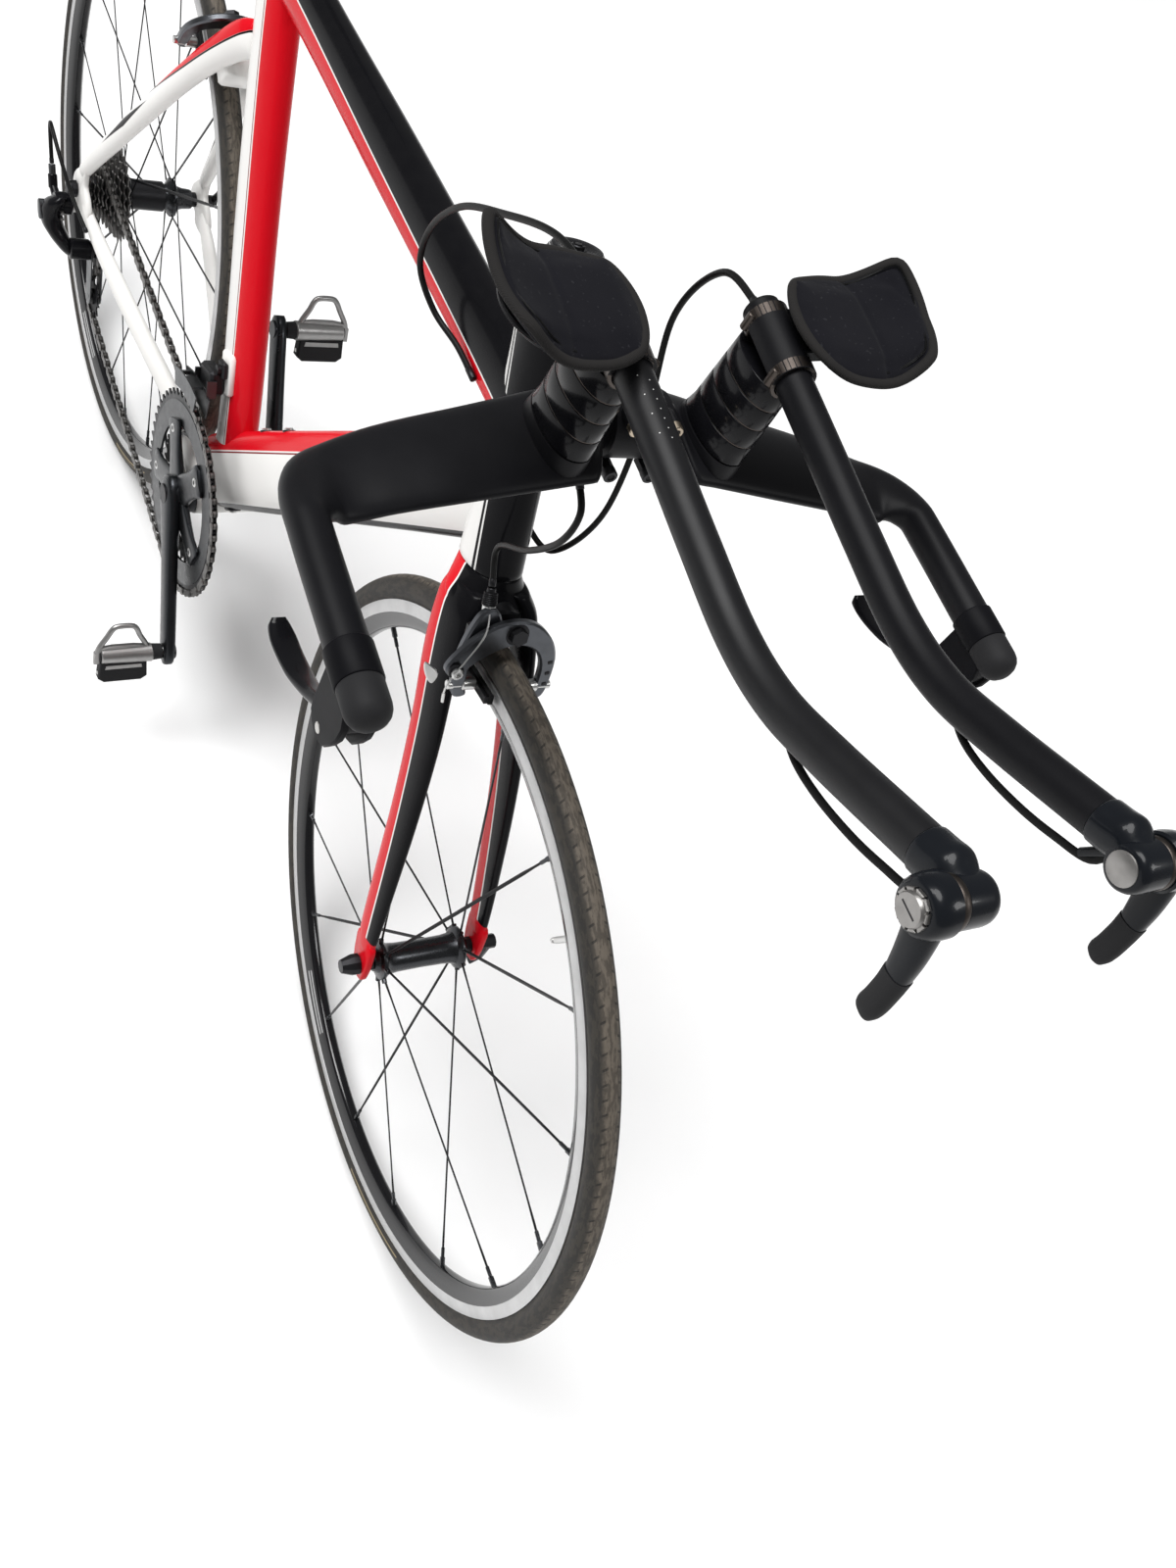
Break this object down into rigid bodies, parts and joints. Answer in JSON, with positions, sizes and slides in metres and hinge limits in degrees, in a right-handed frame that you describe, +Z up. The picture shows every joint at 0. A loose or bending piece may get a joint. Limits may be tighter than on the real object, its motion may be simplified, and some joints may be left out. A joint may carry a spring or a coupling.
{
  "type": "time trial road bicycle",
  "caption": "Time trial road bike with aero tubing, deep-rim spoked wheels, base bar with clip-on extensions and padded arm rests, derailleur gears and rim brakes.",
  "frame": {"origin": "on the ground plane, below the crank axle and in the frame's middle plane; it is the point over which the bike is held upright", "axes": "+X forward towards the front wheel, +Y to the rider's left, +Z up"},
  "size_m": [1.6635, 0.4602, 1.0226],
  "materials": {
    "gloss_black": "gloss",
    "grey_metal": "dark satin",
    "matte_black": "matte",
    "metal_black": "black anodised",
    "neoprene": "knitted",
    "paint_black": "gloss paint",
    "paint_red": "gloss paint",
    "paint_white": "gloss paint",
    "rubber": "matte",
    "saddle_cover": "satin",
    "steel": "bright",
    "tyre_rubber": "worn"
  },
  "bodies": {
    "frame": {"head_tube": "paint_black", "top_tube": "paint_black", "down_tube": "paint_white", "seat_tube": "paint_red", "chain_stay_right": "paint_white", "chain_stay_left": "paint_white", "seat_stays": "paint_white", "rear_axle": "metal_black", "front_mech_body": "metal_black", "rear_mech_body": "metal_black", "rear_brake_base": "metal_black", "rear_mech_housing": "rubber", "chain": "steel"},
    "seatpost": {"seatpost": "matte_black", "saddle": "saddle_cover"},
    "steering": {"fork": "gloss_black", "stem": "matte_black", "top_cap": "gloss_black", "base_bar": "matte_black", "support_right": "matte_black", "support_left": "matte_black", "extension_right": "matte_black", "extension_left": "matte_black", "arm_pad_right": "neoprene", "arm_pad_left": "neoprene", "bar_end_right": "gloss_black", "bar_end_left": "gloss_black", "shifter_pod_right": "gloss_black", "shifter_pod_left": "gloss_black", "front_axle": "metal_black", "front_brake_base": "metal_black", "front_brake_housing": "rubber", "housing_right": "rubber", "housing_left": "rubber"},
    "rear_skewer_lever": {"rear_skewer_lever": "metal_black"},
    "front_skewer_lever": {"front_skewer_lever": "metal_black"},
    "front_mech_cage": {"front_mech_cage": "grey_metal"},
    "rear_mech_cage": {"rear_mech_cage": "grey_metal"},
    "jockey_upper": {"jockey_upper": "matte_black"},
    "jockey_lower": {"jockey_lower": "matte_black"},
    "rear_brake_arm_centre": {"rear_brake_arm_centre": "grey_metal"},
    "rear_brake_arm_side": {"rear_brake_arm_side": "gloss_black"},
    "front_brake_arm_centre": {"front_brake_arm_centre": "grey_metal"},
    "front_brake_arm_side": {"front_brake_arm_side": "gloss_black"},
    "brake_lever_right": {"brake_lever_right": "gloss_black"},
    "brake_lever_left": {"brake_lever_left": "gloss_black"},
    "shift_lever_right": {"shift_lever_right": "gloss_black"},
    "shift_lever_left": {"shift_lever_left": "gloss_black"},
    "front_wheel": {"front_tyre": "tyre_rubber", "front_rim": "gloss_black", "front_hub": "gloss_black"},
    "rear_wheel": {"rear_tyre": "tyre_rubber", "rear_rim": "gloss_black", "rear_hub": "gloss_black"},
    "cassette": {"cassette": "steel"},
    "crank": {"crank_right": "grey_metal", "crank_left": "grey_metal"},
    "pedal_right": {"pedal_right": "grey_metal"},
    "pedal_left": {"pedal_left": "grey_metal"}
  },
  "joints": [
    {"name": "steering", "type": "hinge", "parent": "frame", "child": "steering", "pos_m": [0.556, 0, 0.32084], "axis": [-0.299, 0, 0.9542], "range_deg": [-58, 64], "deforming": ["housing_right", "housing_left"]},
    {"name": "seatpost_height", "type": "slide", "parent": "frame", "child": "seatpost", "axis": [-0.3144, 0, 0.9493], "range_m": [-0.03, 0.045]},
    {"name": "front_wheel_spin", "type": "hinge", "parent": "steering", "child": "front_wheel", "pos_m": [0.59792, -0.00246, 0.33398], "axis": [0.0533, 0.9984, 0.0167], "continuous": true},
    {"name": "rear_wheel_spin", "type": "hinge", "parent": "frame", "child": "rear_wheel", "pos_m": [-0.39781, 0, 0.334], "axis": [0, 1, 0], "continuous": true},
    {"name": "crank_spin", "type": "hinge", "parent": "frame", "child": "crank", "pos_m": [0, 0, 0.2671], "axis": [0, 1, 0], "continuous": true, "deforming": ["chain"]},
    {"name": "cassette_spin", "type": "hinge", "parent": "frame", "child": "cassette", "pos_m": [-0.39781, 0, 0.334], "axis": [0, 1, 0], "continuous": true},
    {"name": "pedal_spin_right", "type": "hinge", "parent": "crank", "child": "pedal_right", "pos_m": [0.10926, -0.073, 0.13361], "axis": [0, 1, 0], "continuous": true},
    {"name": "pedal_spin_left", "type": "hinge", "parent": "crank", "child": "pedal_left", "pos_m": [-0.10926, 0.073, 0.40059], "axis": [0, 1, 0], "continuous": true},
    {"name": "rear_mech_cage_swing", "type": "hinge", "parent": "frame", "child": "rear_mech_cage", "pos_m": [-0.384, -0.0454, 0.262], "axis": [0, 1, 0], "range_deg": [-6, 14], "stiffness_Nm_per_rad": 0.4},
    {"name": "jockey_upper_spin", "type": "hinge", "parent": "rear_mech_cage", "child": "jockey_upper", "pos_m": [-0.384, -0.0454, 0.262], "axis": [0, 1, 0], "continuous": true},
    {"name": "jockey_lower_spin", "type": "hinge", "parent": "rear_mech_cage", "child": "jockey_lower", "pos_m": [-0.36535, -0.0454, 0.2092], "axis": [0, 1, 0], "continuous": true},
    {"name": "front_mech_swing", "type": "hinge", "parent": "frame", "child": "front_mech_cage", "pos_m": [-0.03, -0.0326, 0.405], "axis": [0.9292, 0, 0.3697], "range_deg": [-1, 8]},
    {"name": "front_skewer_cam", "type": "hinge", "parent": "steering", "child": "front_skewer_lever", "pos_m": [0.60093, 0.05406, 0.33492], "axis": [0.0533, 0.9984, 0.0167], "range_deg": [-60, 60]},
    {"name": "rear_skewer_cam", "type": "hinge", "parent": "frame", "child": "rear_skewer_lever", "pos_m": [-0.39781, 0.0721, 0.334], "axis": [0, 1, 0], "range_deg": [-30, 100]},
    {"name": "brake_lever_right_pull", "type": "hinge", "parent": "steering", "child": "brake_lever_right", "pos_m": [0.64616, -0.22886, 0.81829], "axis": [0.0533, 0.9984, 0.0167], "range_deg": [0, 20], "stiffness_Nm_per_rad": 1},
    {"name": "shift_lever_right_turn", "type": "hinge", "parent": "steering", "child": "shift_lever_right", "pos_m": [0.87575, -0.09411, 1.00567], "axis": [0.0533, 0.9984, 0.0167], "range_deg": [-50, 25]},
    {"name": "brake_lever_left_pull", "type": "hinge", "parent": "steering", "child": "brake_lever_left", "pos_m": [0.66911, 0.20126, 0.82548], "axis": [0.0533, 0.9984, 0.0167], "range_deg": [0, 20], "stiffness_Nm_per_rad": 1},
    {"name": "shift_lever_left_turn", "type": "hinge", "parent": "steering", "child": "shift_lever_left", "pos_m": [0.88272, 0.03669, 1.00785], "axis": [0.0533, 0.9984, 0.0167], "range_deg": [-50, 25]},
    {"name": "front_brake_centre_turn", "type": "hinge", "parent": "steering", "child": "front_brake_arm_centre", "pos_m": [0.49116, -0.00246, 0.67464], "axis": [0.9528, -0.0558, 0.2986], "range_deg": [-1.9, 0]},
    {"name": "front_brake_side_turn", "type": "hinge", "parent": "steering", "child": "front_brake_arm_side", "pos_m": [0.49184, -0.02891, 0.66752], "axis": [0.9528, -0.0558, 0.2986], "range_deg": [0, 2.2]},
    {"name": "rear_brake_centre_turn", "type": "hinge", "parent": "frame", "child": "rear_brake_arm_centre", "pos_m": [-0.19561, 0, 0.62821], "axis": [-0.8241, 0, 0.5664], "range_deg": [-1.9, 0]},
    {"name": "rear_brake_side_turn", "type": "hinge", "parent": "frame", "child": "rear_brake_arm_side", "pos_m": [-0.19957, 0.0265, 0.62244], "axis": [-0.8241, 0, 0.5664], "range_deg": [0, 2.2]}
  ],
  "couplings": [
    {"joint": "cassette_spin", "follows": "crank_spin", "ratio": 3.5333},
    {"joint": "jockey_lower_spin", "follows": "crank_spin", "ratio": 4.8182},
    {"joint": "jockey_upper_spin", "follows": "crank_spin", "ratio": -4.8182},
    {"joint": "front_brake_centre_turn", "follows": "brake_lever_right_pull", "ratio": -0.092},
    {"joint": "front_brake_side_turn", "follows": "brake_lever_right_pull", "ratio": 0.108},
    {"joint": "rear_brake_centre_turn", "follows": "brake_lever_left_pull", "ratio": -0.092},
    {"joint": "rear_brake_side_turn", "follows": "brake_lever_left_pull", "ratio": 0.108}
  ]
}
